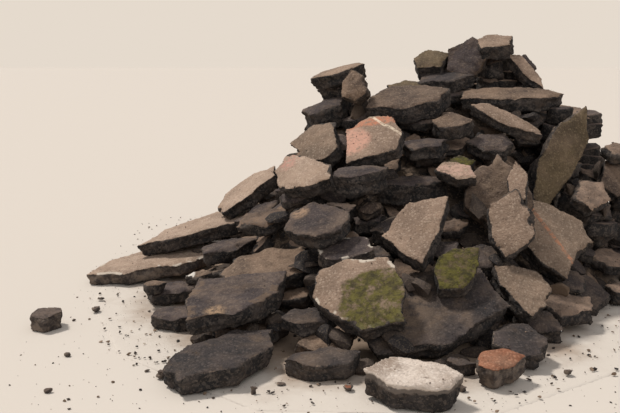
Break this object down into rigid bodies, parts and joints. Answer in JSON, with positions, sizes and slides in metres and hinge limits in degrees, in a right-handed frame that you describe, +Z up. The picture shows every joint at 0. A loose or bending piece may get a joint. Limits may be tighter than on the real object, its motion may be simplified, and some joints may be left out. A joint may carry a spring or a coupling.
{
  "type": "heap of broken asphalt slabs",
  "caption": "Heap of broken asphalt slabs, some mossy or with old paint, piled on packed rubble as lifted from a road surface, with loose crumbs at its toe.",
  "frame": {"origin": "on the ground under the middle of the heap", "axes": "+Z up, -Y towards the side that the picture shows, +X to that side's right"},
  "size_m": [3.0008, 3.21, 1.1389],
  "materials": {
    "rubble_fines": "dusty packed rubble and fines",
    "fresh_break": "rough, black with bitumen, grey stone specks",
    "limewashed_block": "white-topped, grey broken sides",
    "brick_red": "rough, pinkish orange",
    "charcoal_asphalt": "worn, charcoal with pale dust and stone specks",
    "brown_asphalt": "rough, brown grit over charcoal",
    "dusty_asphalt": "worn and dusty, beige over grey",
    "mossy_asphalt": "beige asphalt with green moss",
    "painted_asphalt": "remnants of salmon and cream paint on grey",
    "olive_asphalt": "worn, olive-brown, fine grit"
  },
  "bodies": {
    "root": {"packed_rubble": "rubble_fines", "front_black_lower": "fresh_break", "white_topped_block": "limewashed_block", "front_small_slabs": "fresh_break", "brick_lump": "brick_red", "right_toe_dark_slab": "charcoal_asphalt", "layered_brown_slab": "brown_asphalt", "inner_low_slabs": "charcoal_asphalt", "dark_front_slab": "fresh_break", "front_black_upper": "charcoal_asphalt", "big_black_centre": "charcoal_asphalt", "long_left_low": "dusty_asphalt", "left_small_slabs": "charcoal_asphalt", "brown_flat_left": "brown_asphalt", "long_left_upper": "dusty_asphalt", "right_toe_grey_slab": "dusty_asphalt", "inner_middle_slabs": "charcoal_asphalt", "big_grey_right": "dusty_asphalt", "mossy_left": "mossy_asphalt", "dark_wedge": "fresh_break", "pale_edged_dark_slab": "charcoal_asphalt", "beige_centre": "dusty_asphalt", "mossy_right": "mossy_asphalt", "left_leaning_slab": "dusty_asphalt", "charcoal_left": "charcoal_asphalt", "brown_face_slab": "brown_asphalt", "right_dark_slab": "charcoal_asphalt", "diag_black_slab": "fresh_break", "rough_brown_piece": "brown_asphalt", "pale_pink_stained": "dusty_asphalt", "black_block": "fresh_break", "dark_round_slab": "charcoal_asphalt", "rough_brown_round": "brown_asphalt", "beige_wedge": "dusty_asphalt", "pink_strip_slab": "painted_asphalt", "pink_painted_slab": "painted_asphalt", "beige_upper_left": "dusty_asphalt", "dark_middle_slab": "fresh_break", "standing_olive": "olive_asphalt", "small_mossy_slab": "mossy_asphalt", "right_leaning_slab": "charcoal_asphalt", "dark_arch_slab": "fresh_break", "inner_top_slabs": "charcoal_asphalt", "long_dark_brown_slab": "charcoal_asphalt", "curved_beige_slab": "dusty_asphalt", "brown_lens_slab": "brown_asphalt", "thick_brown_top": "brown_asphalt", "round_brown_standing": "brown_asphalt", "jutting_left_slab": "dusty_asphalt", "small_top_slabs": "dusty_asphalt", "dark_bar_slab": "fresh_break", "gritty_standing_top": "brown_asphalt", "right_plate": "charcoal_asphalt", "leaning_plank": "dusty_asphalt", "peak_slab": "dusty_asphalt", "rear_low_slabs": "dusty_asphalt", "right_end_slabs": "dusty_asphalt", "rear_middle_slabs": "dusty_asphalt", "rear_upper_slabs": "dusty_asphalt", "toe_crumbs": "charcoal_asphalt"}
  },
  "joints": []
}
